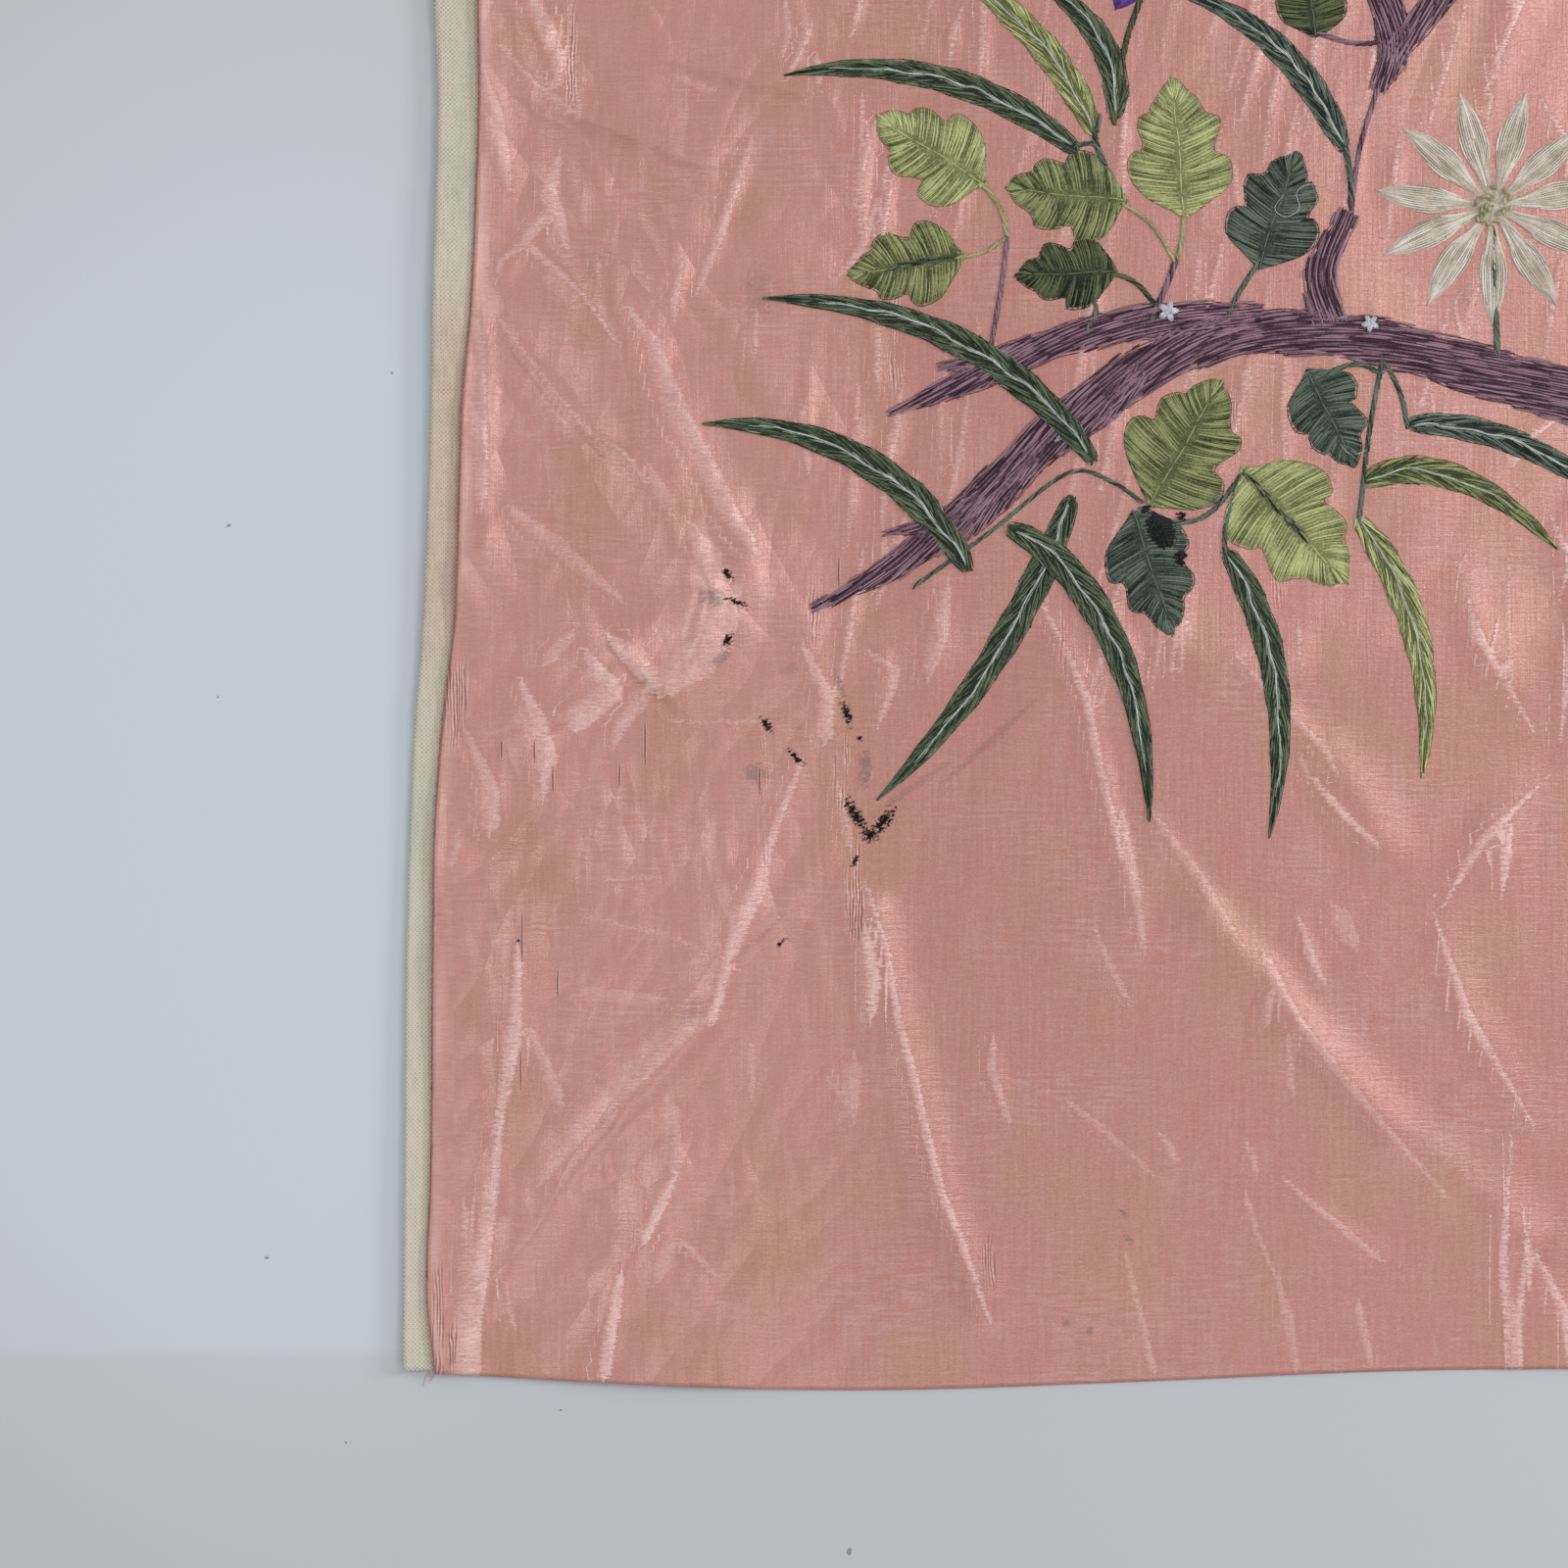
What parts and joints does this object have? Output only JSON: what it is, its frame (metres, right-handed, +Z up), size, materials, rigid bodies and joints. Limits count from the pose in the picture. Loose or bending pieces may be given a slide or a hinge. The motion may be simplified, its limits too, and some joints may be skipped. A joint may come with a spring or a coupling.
{
  "type": "silk embroidery panel",
  "caption": "Rectangular panel of silk satin lying flat with soft folds, a linen tape along its left edge and a raised stitched spray of leafy boughs and flowers.",
  "frame": {"origin": "on the surface that the panel lies on, under the middle of its bounding box", "axes": "+X across the panel to the right, +Y up the panel along its length, +Z up from the table out of the stitched face"},
  "size_m": [0.5698, 0.7824, 0.0063],
  "materials": {
    "satin": "salmon pink silk satin with creases and stains",
    "linen": "cream woven tape",
    "green": "dark green silk stitches with a pale midrib",
    "lime": "light green silk stitches",
    "olive": "mid green silk stitches",
    "deep": "very dark green silk stitches",
    "teal": "blue green silk stitches",
    "bough": "purple brown silk stitches",
    "violet": "deep violet silk stitches",
    "cream": "cream silk stitches"
  },
  "bodies": {
    "root": {"satin_ground": "satin", "edge_tape": "linen", "bough_main": "bough", "bough_upper": "bough", "blade_1": "green", "blade_2": "lime", "blade_3": "green", "blade_4": "teal", "blade_5": "green", "blade_6": "green", "blade_7": "green", "blade_8": "green", "blade_9": "green", "blade_10": "lime", "blade_11": "olive", "blade_12": "teal", "leaf_1": "lime", "leaf_2": "lime", "leaf_3": "olive", "leaf_4": "olive", "leaf_5": "deep", "leaf_6": "teal", "leaf_7": "olive", "leaf_8": "teal", "leaf_9": "lime", "leaf_10": "teal", "leaf_11": "deep", "leaf_12": "olive", "leaf_13": "lime", "flower_violet": "violet", "flower_cream": "cream"}
  },
  "joints": []
}
